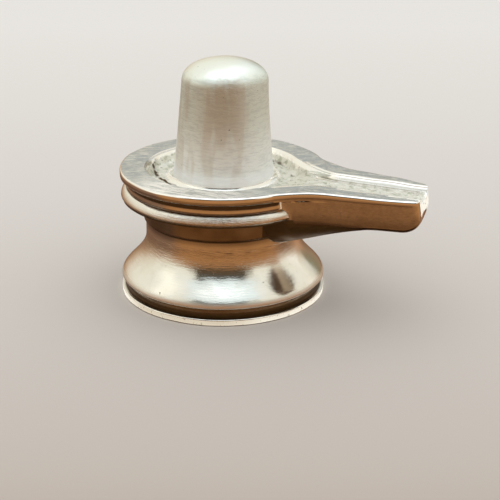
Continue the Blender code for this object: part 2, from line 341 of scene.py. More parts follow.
@dataclass(frozen=True)
class Lingam:
    """The tapered shaft with its flattened dome, leaning a little towards the spout."""

    foot_radius: float = 9.8 * MM
    top_radius: float = 8.28 * MM
    height: float = 19.1 * MM
    swell_power: float = 1.2
    fillet: float = 1.25 * MM
    dome: float = 4.2 * MM
    dome_power: float = 2.15
    lean_foot: float = 0.15 * MM
    lean_top: float = 0.5 * MM

    def profile(self, floor: float) -> np.ndarray:
        """The dome, the shaft and the fillet at its foot.

        The dome is a quarter of an ellipse to a power a little over two, and the shaft's radius is the
        top radius plus a share of the taper that grows with a power of the distance below the top.

        Args:
            floor: Level of the dish floor.

        Returns:
            (r, z) rows from the apex to the floor.
        """
        angle = np.radians(np.linspace(90.0, 0.0, 25))
        power = 2.0 / self.dome_power
        dome = np.stack([self.top_radius * np.cos(angle) ** power,
                         floor + self.height + self.dome * np.sin(angle) ** power], axis=1)
        dome[0, 0] = 0.0
        drop = np.linspace(0.0, self.height - self.fillet, 29)[1:]
        radius = blend(self.top_radius, self.foot_radius, (drop / self.height) ** self.swell_power)
        shaft = np.stack([radius, floor + self.height - drop], axis=1)
        turn = np.radians(np.linspace(180.0, 270.0, 7))[1:]
        out = shaft[-1, 0] + self.fillet * (1 + np.cos(turn))
        foot = np.stack([out, floor + self.fillet * (1 + np.sin(turn))], axis=1)
        return np.concatenate([dome, shaft, foot])

    def lean(self, level: np.ndarray, floor: float) -> np.ndarray:
        """How far a level of the lingam stands towards the spout: a straight line over its height.

        Args:
            level: Levels.
            floor: Level of the dish floor, below which nothing leans.

        Returns:
            One shift for each level.
        """
        share = np.maximum((level - floor) / self.height, 0.0)
        fade = smooth_step(floor - 0.3 * MM, floor + 0.3 * MM, level)
        return fade * (self.lean_foot + (self.lean_top - self.lean_foot) * share)


@dataclass(frozen=True)
class Dish:
    """The round hollow that surrounds the lingam."""

    rim: float = 15.0 * MM
    floor_radius: float = 13.5 * MM
    depth: float = 2.1 * MM


@dataclass(frozen=True)
class Spout:
    """The run-off spout: its plan outline, its keeled hull and the channel cut along it."""

    reach: float = 41.0 * MM
    tip: float = 5.4 * MM
    waist: float = 7.95 * MM
    waist_at: float = 25.0 * MM
    bulge: float = 0.38
    root_at: float = 15.5 * MM
    root_flare: float = 4.06 * MM
    draft: float = 0.6 * MM
    low_flare: float = 1.2 * MM
    tip_corner: float = 1.3 * MM
    nose_bottom: float = 18.3 * MM
    nose_round: float = 3.7 * MM
    keel_start: float = 31.5 * MM
    keel_slope: float = 18.5
    keel_blend: float = 1.5 * MM
    hull_power: float = 2.4
    depth: float = 6.0 * MM
    top: float = 25.3 * MM
    edge: float = 0.5 * MM
    channel: float = 3.6 * MM
    channel_wall: float = 0.95 * MM
    mouth_wall: float = 2.1 * MM
    mouth_turn: float = 41.5
    wall_share: float = 0.4
    channel_depth: float = 1.15 * MM

    def rounding(self, reach: np.ndarray, radius: float) -> np.ndarray:
        """How far a quarter round draws in near the tip: radius less root of its square less the way's."""
        into = np.clip(reach - (self.reach - radius), 0.0, radius)
        return radius - np.sqrt(np.maximum(radius ** 2 - into ** 2, 0.0))

    def half_width(self, reach: np.ndarray) -> np.ndarray:
        """Half the spout's width at its top edge, without the root's flare and the tip's rounding."""
        share = (self.reach - reach) / (self.reach - self.waist_at)
        return self.tip + (self.waist - self.tip) * share * (1.0 + self.bulge * (1.0 - share))

    def flare(self, reach: np.ndarray, down: np.ndarray) -> np.ndarray:
        """The sweep of the side out to the plate.

        As deep as the plate's lip it is a square law from the waist to the root, and below that it eases
        to a smaller, even widening.

        Args:
            reach: Distances from the lingam's axis.
            down: Depths below the top.

        Returns:
            How much it adds to the half width.
        """
        share = np.clip((self.waist_at - reach) / (self.waist_at - self.root_at), 0.0, 1.1)
        upper = smooth_step(1.72 * MM, 1.5 * MM, down)
        lower = self.low_flare * smooth_step(self.waist_at, 17.5 * MM, reach)
        return blend(lower, self.root_flare * share ** 2, upper)

    def keel(self, reach: np.ndarray) -> np.ndarray:
        """The lowest level: flat under the nose, then a slope down to the neck, joined by a hyperbola.

        Args:
            reach: Distances from the lingam's axis.

        Returns:
            One level for each.
        """
        past = self.keel_start - reach
        eased = (past + np.sqrt(past ** 2 + self.keel_blend ** 2)) / 2.0
        slope = np.tan(np.radians(self.keel_slope))
        return self.nose_bottom - slope * eased + self.rounding(reach, self.nose_round)

    def section(self, reach: np.ndarray, share: np.ndarray) -> tuple[np.ndarray, np.ndarray]:
        """A point of the spout's side and hull: half width and level.

        The share runs from 0 at the top edge to 1 on the keel. Up to the wall's share it goes down the
        drafted wall, and from there round a superellipse to the middle of the keel.

        Args:
            reach: Distances from the lingam's axis.
            share: Shares of the way down, of the same shape.

        Returns:
            Half widths and levels.
        """
        bottom = self.keel(reach)
        wall = np.minimum(self.depth, 0.8 * (self.top - bottom))
        down = np.clip(share / self.wall_share, 0.0, 1.0) * wall
        width = self.half_width(reach) - self.rounding(reach, self.tip_corner)
        lean = down / self.depth
        left = np.clip(self.edge - down, 0.0, self.edge)
        broken = self.edge - np.sqrt(np.maximum(self.edge ** 2 - left ** 2, 0.0))
        out = width - self.draft * lean + self.flare(reach, down) - broken
        angle = np.clip((share - self.wall_share) / (1.0 - self.wall_share), 0.0, 1.0) * np.pi / 2.0
        power = 2.0 / self.hull_power
        level = self.top - down - (self.top - wall - bottom) * np.sin(angle) ** power
        return out * np.maximum(np.cos(angle), 0.0) ** power, level

    def channel_edge(self, mouth: float) -> np.ndarray:
        """The channel's near edge in plan, from the tip to where its mouth runs into the dish's rim.

        It is a straight line along the spout and then a cubic Bezier curve out to the rim's circle.

        Args:
            mouth: Radius of the dish's rim.

        Returns:
            (x, half width) rows.
        """
        end = np.radians(self.mouth_turn)
        knots = [(23.0 * MM, self.channel), (18.2 * MM, self.channel + 0.05 * MM), (15.6 * MM, 6.9 * MM),
                 (mouth * np.cos(end), mouth * np.sin(end))]
        curve = bezier(np.array(knots), np.linspace(0.0, 1.0, 80))
        return np.concatenate([[(self.reach, self.channel)], curve])

    def channel_fall(self, reach: np.ndarray, dish: Dish) -> np.ndarray:
        """Depth of the channel's floor, easing down to the dish floor in the mouth."""
        return blend(dish.depth, self.channel_depth, smooth_step(12.8 * MM, 18.5 * MM, reach))


@dataclass(frozen=True)
class Grid:
    """How finely the casting is gridded, counted over one half of it."""

    spout: int = 84
    round: int = 144
    root: int = 30
    floor_levels: int = 12
    wall_levels: int = 9
    rim_levels: int = 12
    cap_rings: int = 7
    lip_levels: int = 12


@dataclass(frozen=True)
class Wear:
    """How the casting was finished, what use did to it and where shade is painted on it, in millimetres of
    the unworked form.
    """

    pedestal: Pedestal
    floor: float

    @property
    def top(self) -> float:
        """Level of the plate's top."""
        return self.pedestal.top / MM

    def edges(self, at: Place) -> np.ndarray:
        """The eased edges round the plate's and the spout's top and the burr on it."""
        eased = (at.z > self.top - 0.76) & (at.z < self.top - 0.012)
        return (eased | (at.z > self.top + 0.006)) * (at.radius > 14.2)

    def as_cast(self, at: Place) -> np.ndarray:
        """The beds of the dish and the channel and the walls of the mouth, never filed.

        Args:
            at: The points.

        Returns:
            One value for each point.
        """
        dish = band(11.2, 14.2, 0.5, at.radius) * band(self.floor - 0.4, self.top - 0.9, 0.4, at.z)
        channel = (at.x > 13.0) * smooth_step(3.3, 2.5, at.off) * band(23.4, 24.5, 0.3, at.z)
        channel = channel * smooth_step(40.9, 40.6, at.x)
        mouth = (at.x > 8.0) * (at.off < 7.5) * (at.radius < 18.4) * (at.radius > 11.2)
        mouth = mouth * smooth_step(self.top - 0.15, self.top - 0.4, at.z) * (at.z > self.floor - 0.5)
        return np.maximum.reduce([dish, channel, mouth * 0.9]) * (1 - self.edges(at))

    def keel(self, at: Place) -> np.ndarray:
        """The underside of the spout from the neck to where its nose rises."""
        on_keel = (at.radius > 15.2) & (at.ahead > 0.8) & (at.z > 12.2)
        return smooth_step(20.2, 18.6, at.z) * smooth_step(33.5, 30.0, at.x) * on_keel

    def dish_dirt_and_shade(self, at: Place) -> np.ndarray:
        """Dirt and painted shade in the dish: along its floor's edge and along a line behind the lingam, and
        a painted shadow line on its brink, away from the spout.

        Args:
            at: The points.

        Returns:
            One value for each point.
        """
        wavy = Ripple(0.12, 5.0, 41).over(at.rows)
        in_dish = at.z > self.floor - 0.5
        corner = crease(13.45, 0.34, at.radius + wavy) * (at.z < self.top - 1.4) * in_dish
        corner = corner * smooth_step(0.97, 0.9, at.ahead) * smooth_step(-0.2, 0.5, at.ahead)
        corner = corner * (0.7 + Ripple(0.5, 2.0, 43).over(at.rows))
        turn = np.degrees(np.arctan2(-at.y, -at.x))
        line = np.interp(turn, (0.0, 8.0, 16.0, 42.0, 56.0), (14.4, 14.35, 13.2, 11.6, 11.05))
        seam = crease(0.0, 0.32, at.radius - line + wavy) * band(6.0, 58.0, 4.0, turn)
        seam = seam * (at.z < self.top - 0.75) * in_dish * (0.85 + Ripple(0.5, 1.6, 47).over(at.rows))
        # painted shadow: a dark line at the top of the dish's wall, only on the side away from the spout
        brink = crease(14.9, 0.16, at.radius) * (at.z > self.top - 0.9) * (at.z < self.top - 0.02)
        return np.maximum.reduce([corner, seam, 0.8 * brink * smooth_step(-0.3, -0.7, at.ahead)])

    def grime_and_shade(self, at: Place) -> np.ndarray:
        """Dark dirt with painted shade: in the dish, in the side's grooves, under the plate and the collar,
        and along the two sides of the spout's keel.

        Args:
            at: The points.

        Returns:
            One value for each point.
        """
        form = self.pedestal
        lip, bead, collar = form.lip_bottom / MM, form.bead_top / MM, form.collar_bottom / MM
        side = at.radius > 17.0
        in_groove = smooth_step(19.1, 18.95, at.radius) * smooth_step(0.86, 0.84, at.ahead) * side
        # painted shade with some dirt: the groove under the lip, a line over the bead, the foot's groove, the
        # band under the plate, the crease under the collar and the keel's sides are darkened where shade
        # falls
        return np.maximum.reduce([
            self.dish_dirt_and_shade(at),
            0.9 * band(lip - 0.95, lip, 0.3, at.z) * in_groove,
            0.7 * crease(bead + 0.1, 0.16, at.z) * in_groove,
            0.75 * band(1.3, 2.1, 0.4, at.z) * (at.radius < 19.45) * side,
            0.9 * band(18.9, 19.6, 0.15, at.z) * (at.radius > 15.2) * (at.radius < 20.5),
            crease(collar - 0.22, 0.12, at.z) * (at.radius < 16.0) * (at.radius > 14.5),
            0.8 * self.keel(at) * smooth_step(2.6, 4.6, at.off),
        ])

    def tarnish(self, at: Place) -> np.ndarray:
        """Brown tarnish on the collar, the neck, the spout's hull and the foot's groove.

        Args:
            at: The points.

        Returns:
            One value for each point.
        """
        hull = smooth_step(22.3, 19.0, at.z) * smooth_step(15.6, 18.0, at.radius) * (at.z > 13.0)
        return np.maximum.reduce([
            band(15.2, 19.3, 0.05, at.z) * (at.radius < 16.2),
            0.75 * smooth_step(13.3, 14.9, at.z) * (at.z < 15.15),
            0.65 * hull * ((at.radius > 20.3) | (at.x > 14.0) & (at.z < 19.2)),
            self.keel(at),
            band(1.25, 3.5, 0.1, at.z) * smooth_step(19.9, 19.3, at.radius) * (at.radius > 17.0),
            0.7 * crease(self.top - 0.95, 0.13, at.z) * (at.radius > 19.5) * (at.x < 39.5),
        ])

    def burnished(self, at: Place) -> np.ndarray:
        """Polish on what a cloth reaches: edges, fillet, bead, foot ring, the spout's tip and inner edge.

        Args:
            at: The points.

        Returns:
            One value for each point.
        """
        turned = at.radius < 20.5
        fillet = (at.radius < 11.2) * (at.radius > 8.0) * (at.z > self.floor - 0.1)
        inner = smooth_step(4.4, 4.0, at.off) * smooth_step(20.0, 24.0, at.x)
        return np.maximum.reduce([
            self.edges(at),
            0.8 * fillet * smooth_step(self.floor + 3.6, self.floor + 1.9, at.z),
            0.2 * band(19.7, 21.6, 0.1, at.z) * smooth_step(18.9, 19.1, at.radius) * turned,
            0.5 * (at.z < 1.3),
            0.8 * band(3.5, 4.1, 0.3, at.z) * (at.radius > 19.5) * turned,
            smooth_step(40.4, 40.7, at.x) * (at.z > 21.6),
            inner * (at.z > self.top - 0.3),
        ])

    def skins(self, points: np.ndarray) -> dict[Skin, np.ndarray]:
        """How each point's surface was finished, and where shade is painted on it.

        Args:
            points: Rows of (x, y, z), in metres.

        Returns:
            One 0..1 value for each point and finish.
        """
        at = Place(points)
        skins = {Skin.AS_CAST: self.as_cast(at), Skin.GRIME: self.grime_and_shade(at),
                 Skin.TARNISH: self.tarnish(at), Skin.BURNISHED: self.burnished(at)}
        return {skin: np.clip(values, 0.0, 1.0) for skin, values in skins.items()}


@dataclass
class Casting:
    """The whole casting as one closed grid.

    Stations run from the tip along the near side of the spout, round the plate and back along the far
    side to the tip. Levels run from the lingam's apex down the shaft, out over the dish and the rim, and
    down the side to the middle of the underside. Along the spout a station starts on the channel's
    centre line and ends on the keel, where the two sides meet.
    """

    pedestal: Pedestal = field(default_factory=Pedestal)
    lingam: Lingam = field(default_factory=Lingam)
    dish: Dish = field(default_factory=Dish)
    spout: Spout = field(default_factory=Spout)
    grid: Grid = field(default_factory=Grid)

    root_start: float = 22.0 * MM
    burr: float = 0.12 * MM
    rounded: float = 0.16 * MM
    sag: float = 0.10
    sharp_angle: float = 44.0

    @property
    def floor(self) -> float:
        """Level of the dish floor."""
        return self.pedestal.top - self.dish.depth

    def turn_shares(self) -> np.ndarray:
        """Shares of the half turn for the round stations, a little denser at the spout's root."""
        even = np.linspace(0.0, 1.0, self.grid.round + 1)
        return 0.55 * even + 0.45 * even ** 1.6

    def clean_reaches(self) -> np.ndarray:
        """Reaches of the spout's stations, dense on the rounded nose.

        Returns:
            Distances from the lingam's axis, from the tip to the start of the root.
        """
        turn = np.radians(np.linspace(90.0, 8.0, 22))
        nose = self.spout.reach - self.spout.nose_round * (1.0 - np.sin(turn))
        rest = np.linspace(nose[-1], self.root_start, self.grid.spout - self.grid.root - 20)[1:]
        return np.concatenate([nose, rest])

    def side_levels(self) -> tuple[np.ndarray, np.ndarray]:
        """The moulded side with its root curve, where the spout's surface leaves the turned form.

        For each level the circle of the turned profile is set against the spout's half width at that
        height, and the outermost crossing is the root.

        Returns:
            The (r, z) rows of the side down to the keel's root, and one (reach, share) row for each.
        """
        form = self.pedestal
        keel_root = float(self.spout.keel(np.array(form.neck)))
        side = np.concatenate([form.moulding(), form.stem(keel_root)])
        reach = np.linspace(8.0 * MM, 21.0 * MM, 1301)
        share = np.linspace(0.0, 1.0, 1001)
        half, level = self.spout.section(*np.meshgrid(reach, share, indexing="ij"))
        roots = np.zeros((len(side), 2))
        for row, (radius, height) in enumerate(side):
            column = np.argmax(level <= height + 1e-9, axis=1)
            below = level[:, -1] > height
            width = np.where(below, 0.0, half[np.arange(len(reach)), column])
            circle = np.sqrt(np.maximum(radius ** 2 - reach ** 2, 0.0))
            outside = (width > circle) | (reach > radius)
            last = len(reach) - 1 - int(np.argmax(~outside[::-1]))
            roots[row] = min(reach[last], radius), 1.0 if below[last] else share[column[last]]
        roots[-1] = form.neck, 1.0
        roots[:, 1] = np.maximum.accumulate(roots[:, 1])
        return side, roots

    def even_shares(self, shares: np.ndarray) -> np.ndarray:
        """Spreads the root's shares so that no two levels fall together farther along the spout.

        Args:
            shares: One rising share for each level of the root.

        Returns:
            The same first shares, as many as the lip has levels, and wider steps below them.
        """
        kept = self.grid.lip_levels
        step = np.maximum(np.diff(shares), 0.004)
        step[:kept] = np.diff(shares)[:kept]
        rest = step[kept:]
        rest *= (1.0 - shares[kept]) / rest.sum()
        return np.concatenate([[shares[0]], shares[0] + np.cumsum(step)])

    def side_grid(self) -> tuple[np.ndarray, np.ndarray]:
        """The side: spout stations and round stations, from the rim's outer edge to the keel's root.

        Returns:
            Two arrays of (level, station, xyz), for the spout and for the round part, near half.
        """
        side, roots = self.side_levels()
        radius, level = side.T
        start = np.arccos(np.clip(roots[:, 0] / radius, -1.0, 1.0))
        angle = start[:, None] + (np.pi - start[:, None]) * self.turn_shares()
        out, level = radius[:, None], np.broadcast_to(level[:, None], angle.shape)
        turned = np.stack([out * np.cos(angle), -out * np.sin(angle), level], axis=2)
        even = self.even_shares(roots[:, 1])[:, None]
        way = np.linspace(0.0, 1.0, self.grid.root + 1)[1:]
        reach_root = blend(self.root_start, roots[:, :1], way)
        share_root = blend(even, roots[:, 1:], smooth_step(0.0, 1.0, way))
        clean = self.clean_reaches()
        spread = len(side), len(clean)
        reach = np.concatenate([np.broadcast_to(clean, spread), reach_root], axis=1)
        share = np.concatenate([np.broadcast_to(even, spread), share_root], axis=1)
        half, height = self.spout.section(reach, share)
        spout = np.stack([reach, -half, height], axis=2)
        spout[:, -1] = turned[:, 0]
        return spout, turned

    def inner_edges(self, count: int) -> tuple[np.ndarray, np.ndarray]:
        """The edge of the hollow and the edge of its floor, in plan, for the spout's stations.

        The floor's edge is the hollow's edge moved in along its normal, by the width of the wall.

        Args:
            count: Number of spout stations, the tip's and the junction's included.

        Returns:
            Two arrays of (x, half width) rows.
        """
        path = self.spout.channel_edge(self.dish.rim)
        straight = self.clean_reaches()
        along = np.stack([straight, np.interp(-straight, -path[:, 0], path[:, 1])], axis=1)
        mouth = np.concatenate([along[-1:], path[path[:, 0] <= self.root_start]])
        shares = np.linspace(0.0, 1.0, count - len(straight) + 1)[1:]
        edge = np.concatenate([along, even_points(mouth, shares)])
        tangent = np.gradient(edge, axis=0)
        tangent /= np.linalg.norm(tangent, axis=1, keepdims=True)
        tangent[0] = (-1.0, 0.0)
        tangent[-1] = np.array([-edge[-1, 1], edge[-1, 0]]) / self.dish.rim
        normal = np.stack([-tangent[:, 1], tangent[:, 0]], axis=1)
        x = edge[:, 0]
        run = blend(self.spout.channel_wall, self.spout.mouth_wall, smooth_step(20.0 * MM, 15.5 * MM, x))
        run = blend(run, self.dish.rim - self.dish.floor_radius, smooth_step(13.5 * MM, 11.3 * MM, x))
        return edge, edge + normal * run[:, None]

    def top_grid(self, outer: np.ndarray, turned: np.ndarray) -> tuple[np.ndarray, np.ndarray]:
        """The hollow's floor and wall and the flat rim, between the lingam and the side.

        Each station is four plan points: on the lingam's foot or the channel's centre line, on the
        floor's edge, on the hollow's edge and on the rim's outer edge. Between them radius and angle
        about the axis go in even shares, and the height is a function of the place.

        Args:
            outer: The spout's outer edge, one (x, y, z) row for each station.
            turned: The plate's outer edge, one row for each round station.

        Returns:
            Two arrays of (level, station, xyz), for the spout and for the round part, near half.
        """
        count = len(outer)
        edge, floor_edge = self.inner_edges(count)
        foot = self.lingam.profile(self.floor)[-1, 0]
        centre = foot + float(self.lingam.lean(np.array(self.floor), self.floor))
        clean = self.clean_reaches()
        line = np.concatenate([clean, np.linspace(self.root_start, centre, count - len(clean) + 1)[1:]])
        shares = self.turn_shares()
        foot_plan = half_ring((foot, 0.0), shares) + (centre - foot, 0.0)
        rings = [
            (np.stack([line, np.zeros(count)], axis=1), foot_plan),
            (floor_edge, half_ring(floor_edge[-1], shares)),
            (edge, half_ring(edge[-1], shares)),
            (outer[:, :2] * (1.0, -1.0), turned[:, :2] * (1.0, -1.0)),
        ]
        return tuple(self.top_part(*[pair[part] for pair in rings]) for part in (0, 1))

    def bed_height(self, x: np.ndarray, share: np.ndarray) -> np.ndarray:
        """Level of the hollow's floor, a little lower along the channel's middle."""
        sag = self.sag * (1.0 - share ** 2) * smooth_step(14.0 * MM, 19.0 * MM, x)
        return self.pedestal.top - self.spout.channel_fall(x, self.dish) * (1.0 + sag)

    def wall_height(self, x: np.ndarray, share: np.ndarray) -> np.ndarray:
        """Level of the hollow's wall: a straight climb blended with an eased one, more so in the channel.

        Args:
            x: Places along the spout.
            share: Shares of the way up the wall.

        Returns:
            The levels.
        """
        soft = 0.55 + 0.4 * smooth_step(11.0 * MM, 15.0 * MM, x)
        climb = blend(share, smooth_step(0.0, 1.0, share), soft)
        fall = self.spout.channel_fall(x, self.dish) - self.rounded
        return self.pedestal.top - self.rounded - fall * (1.0 - climb)

    def rim_height(self, x: np.ndarray, across: np.ndarray) -> np.ndarray:
        """Level of the flat rim, rounded at its inner edge and with a low burr beside it on the spout.

        Args:
            x: Places along the spout.
            across: Distances from the inner edge.

        Returns:
            The levels: a quarter round, and the burr as the square of a half sine.
        """
        into = np.clip(self.rounded - across, 0.0, self.rounded)
        level = self.pedestal.top - self.rounded + np.sqrt(np.maximum(self.rounded ** 2 - into ** 2, 0.0))
        burr = self.burr * np.sin(np.pi * np.clip(across / (5.5 * self.rounded), 0.0, 1.0)) ** 2
        return level + burr * smooth_step(13.0 * MM, 19.0 * MM, x)

    def top_part(self, foot: np.ndarray, floor: np.ndarray, edge: np.ndarray,
                 outer: np.ndarray) -> np.ndarray:
        """The floor, wall and rim between four plan curves.

        Args:
            foot: (x, half width) rows of the curve that the floor starts from.
            floor: The floor's edge.
            edge: The hollow's edge.
            outer: The rim's outer edge.

        Returns:
            An array of (level, station, xyz) for the near half.
        """
        bed = np.linspace(0.0, 1.0, self.grid.floor_levels + 1)[:, None]
        wall = np.linspace(0.0, 1.0, self.grid.wall_levels + 1)[:, None]
        rim = np.linspace(0.1, 1.0, self.grid.rim_levels - 3)
        rim = np.concatenate([[0.0, 0.012, 0.03, 0.055], rim])[:, None]
        bed_x, bed_y = between(foot, floor, bed)
        wall_x, wall_y = between(floor, edge, wall)
        rim_x, rim_y = between(edge, outer, rim)
        across = rim * np.hypot(*(outer - edge).T)
        return np.concatenate([
            np.stack([bed_x, -bed_y, self.bed_height(bed_x, bed)], axis=2),
            np.stack([wall_x, -wall_y, self.wall_height(wall_x, wall)], axis=2)[1:],
            np.stack([rim_x, -rim_y, self.rim_height(rim_x, across)], axis=2)[1:],
        ])

    def turned_grid(self, profile: np.ndarray, leaning: bool) -> np.ndarray:
        """A turned stretch over the half turn, one level for each (r, z) row.

        Args:
            profile: The rows to turn.
            leaning: Whether the stretch leans with the lingam.

        Returns:
            An array of (level, station, xyz) for the near half.
        """
        angle = np.pi * self.turn_shares()
        x = profile[:, :1] * np.cos(angle)
        if leaning:
            x = x + self.lingam.lean(profile[:, 1:], self.floor)
        y = -profile[:, :1] * np.sin(angle)
        return np.stack([x, y, np.broadcast_to(profile[:, 1:], x.shape)], axis=2)

    def cap_grid(self, tip: np.ndarray) -> np.ndarray:
        """The spout's end face: its outline, drawn in ring by ring to a line across the face.

        The line lies at half height. A point of the outline's top goes to the same share of its own
        width on it, and the points of the side and bottom go evenly to the same places.

        Args:
            tip: The outline's near half, from the channel's floor to the keel.

        Returns:
            An array of (ring, point, xyz).
        """
        top_count = self.grid.floor_levels + self.grid.wall_levels + self.grid.rim_levels
        low = np.linspace(top_count, 0.0, len(tip) - top_count)
        match = np.concatenate([np.arange(top_count), np.round(low).astype(int)])
        level = 0.5 * (tip[0, 2] + tip[-1, 2])
        flat = np.ones(len(tip))
        line = np.stack([tip[0, 0] * flat, 0.85 * tip[match, 1], level * flat], axis=1)
        share = np.linspace(0.0, 1.0, self.grid.cap_rings + 1)[:, None, None]
        ring = tip + (line - tip) * share
        ring[:, :, 0] = tip[0, 0] + 0.15 * MM * np.sin(share[:, :, 0] * np.pi / 2.0)
        return ring

    def surfaces(self) -> list[np.ndarray]:
        """The grids of the near half, each sharing its border points with its neighbours.

        Returns:
            The spout, the round part and the spout's end face.
        """
        spout_side, turned_side = self.side_grid()
        spout_top, turned_top = self.top_grid(spout_side[0], turned_side[0])
        spout_top[:, -1] = turned_top[:, 0]
        shaft = self.turned_grid(self.lingam.profile(self.floor), True)
        shaft[-1] = turned_top[0]
        bell = self.pedestal.bell()
        bell = bell[bell[:, 1] < turned_side[-1, 0, 2] - 0.1 * MM]
        low = np.concatenate([[(self.pedestal.neck, turned_side[-1, 0, 2])], bell, self.pedestal.foot()])
        spout = np.concatenate([spout_top, spout_side[1:]])
        foot = self.turned_grid(low, False)
        round_part = np.concatenate([shaft, turned_top[1:], turned_side[1:], foot[1:]])
        return [spout, round_part, self.cap_grid(spout[:, 0])]

    def closed_mesh(self) -> tuple[np.ndarray, np.ndarray, np.ndarray]:
        """The grids of both halves as one mesh, with the points that they share made one.

        Returns:
            The points, the four-sided faces and the three-sided ones.
        """
        points, quads, offset = [], [], 0
        for surface in self.surfaces():
            rows, columns = surface.shape[:2]
            index = np.arange(rows * columns).reshape(rows, columns)
            corners = index[:-1, :-1], index[:-1, 1:], index[1:, 1:], index[1:, :-1]
            near = np.stack(corners, axis=2).reshape(-1, 4)
            for side, faces in ((1.0, near), (-1.0, near[:, ::-1])):
                points.append(surface.reshape(-1, 3) * (1.0, side, 1.0))
                quads.append(faces + offset)
                offset += rows * columns
        points = np.concatenate(points)
        quads = np.concatenate(quads)
        key = np.round(points / (0.0005 * MM)).astype(np.int64)
        _, first, same = np.unique(key, axis=0, return_index=True, return_inverse=True)
        points = points[first]
        quads = same.reshape(-1)[quads]
        following = np.roll(quads, -1, axis=1)
        twins = quads == following
        whole = quads[~twins.any(axis=1)]
        folded = twins.sum(axis=1) == 1
        cut = np.argmax(twins[folded], axis=1)
        order = (cut[:, None] + np.array([1, 2, 3])) % 4
        triangles = np.take_along_axis(quads[folded], order, axis=1)
        return points, whole, triangles

    def hand_work(self, points: np.ndarray) -> np.ndarray:
        """The unevenness of casting and filing, as a shift of each point that depends on its place alone.

        The tip is filed a little askew and raked, round walls waver by a few hundredths of a
        millimetre, the shaft has faint facets, and the hollow's floor is rough as cast.

        Args:
            points: Rows of (x, y, z).

        Returns:
            The shifted rows.
        """
        at = Place(points)
        top, floor = self.pedestal.top / MM, self.floor / MM
        outward = at.rows[:, :2] / np.maximum(at.radius, 0.001)[:, None]
        skew = 0.15 * at.y * smooth_step(30.0, 41.0, at.x)
        rake = 0.35 * smooth_step(22.0, 25.3, at.z) * smooth_step(37.0, 41.0, at.x)
        waver = Ripple(0.035, 14.0, 3).over(at.rows) + Ripple(0.012, 4.0, 5).over(at.rows)
        waver = waver * smooth_step(2.0, 8.0, at.radius) * smooth_step(22.0, 20.2, at.radius)
        on_shaft = (at.z > floor + 0.4) & (at.radius < 11.0)
        facet = Ripple(0.03, 3.2, 11).over(np.column_stack([outward * 5.0, at.z * 0.15]))
        facet = facet * on_shaft * smooth_step(floor, floor + 3.0, at.z)
        hollow = (at.z < top - 0.5) & (at.z > floor - 0.6)
        in_dish = (at.radius < 14.6) & (at.radius > 9.9)
        in_channel = (at.off < 3.2) & (at.x > 12.0) & (at.z > 23.5)
        in_bed = np.maximum(smooth_step(2.7, 2.1, at.off), at.radius < 15.0)
        rough = Ripple(0.09, 2.6, 21).over(at.rows) + Ripple(0.05, 1.1, 23).over(at.rows)
        rough = rough * (hollow & (in_dish | in_channel)) * in_bed * smooth_step(10.4, 11.2, at.radius)
        inward = np.clip((4.4 - at.off) / 1.2, 0.0, 1.0) * smooth_step(19.0, 23.0, at.x)
        rim = Ripple(0.03, 9.0, 31).over(at.rows) * (at.z < 26.0) - 0.10 * inward ** 2
        rim = rim * smooth_step(top - 0.4, top - 0.1, at.z) * (at.radius > 14.0)
        shift = np.column_stack([outward * (waver + facet)[:, None], rough + rim])
        shift[:, 0] -= skew + rake
        return (at.rows + shift) * MM

    def build(self, name: str) -> bpy.types.Object:
        """Makes the casting's mesh object, smooth but for its crisp edges.

        Args:
            name: The new object's name.

        Returns:
            The object, linked to the scene at the origin.
        """
        points, quads, triangles = self.closed_mesh()
        mesh = bpy.data.meshes.new(name)
        mesh.from_pydata(self.hand_work(points), [], quads.tolist() + triangles.tolist())
        for skin, values in Wear(self.pedestal, self.floor / MM).skins(points).items():
            layer = mesh.attributes.new(skin.value, "FLOAT", "POINT")
            layer.data.foreach_set("value", values.astype(np.float32))
        mesh.shade_smooth()
        mesh.set_sharp_from_angle(angle=np.radians(self.sharp_angle))
        piece = bpy.data.objects.new(name, mesh)
        bpy.context.scene.collection.objects.link(piece)
        return piece


class Wire:
    """One output of a node tree. Arithmetic on it adds Math nodes."""

    def __init__(self, tree: "NodeBench", socket: bpy.types.NodeSocket) -> None:
        """Keeps the tree that the socket belongs to."""
        self.tree = tree
        self.socket = socket

    def _math(self, operation: str, *values: "Wire | float") -> "Wire":
        """One Math node over this and other values."""
        return self.tree.node("ShaderNodeMath", {"operation": operation}, dict(enumerate(values)))

    def __add__(self, other: "Wire | float") -> "Wire":
        """This plus other."""
        return self._math("ADD", self, other)

    def __radd__(self, other: float) -> "Wire":
        """Other plus this."""
        return self._math("ADD", other, self)

    def __sub__(self, other: "Wire | float") -> "Wire":
        """This less other."""
        return self._math("SUBTRACT", self, other)

    def __rsub__(self, other: float) -> "Wire":
        """Other less this."""
        return self._math("SUBTRACT", other, self)

    def __mul__(self, other: "Wire | float") -> "Wire":
        """This times other."""
        return self._math("MULTIPLY", self, other)

    def __rmul__(self, other: float) -> "Wire":
        """Other times this."""
        return self._math("MULTIPLY", other, self)

    def __truediv__(self, other: "Wire | float") -> "Wire":
        """This over other."""
        return self._math("DIVIDE", self, other)

    def power(self, exponent: float) -> "Wire":
        """This raised to a power."""
        return self._math("POWER", self, exponent)

    def at_most(self, other: "Wire | float") -> "Wire":
        """The smaller of this and other."""
        return self._math("MINIMUM", self, other)

    def at_least(self, other: "Wire | float") -> "Wire":
        """The larger of this and other."""
        return self._math("MAXIMUM", self, other)

    def size(self) -> "Wire":
        """This without its sign."""
        return self._math("ABSOLUTE", self)

    def ease(self, low: float, high: float) -> "Wire":
        """A smooth ease, also with low above high.

        Args:
            low: Where it is 0.
            high: Where it is 1.

        Returns:
            The eased value.
        """
        if low > high:
            return 1.0 - self.ease(high, low)
        inputs = {0: self, 1: low, 2: high, 3: 0.0, 4: 1.0}
        return self.tree.node("ShaderNodeMapRange", {"interpolation_type": "SMOOTHSTEP"}, inputs)

    def within(self, low: float, high: float, soft: float) -> "Wire":
        """1 where this is between low and high, with soft borders."""
        return self.ease(low - soft, low + soft) * self.ease(high + soft, high - soft)


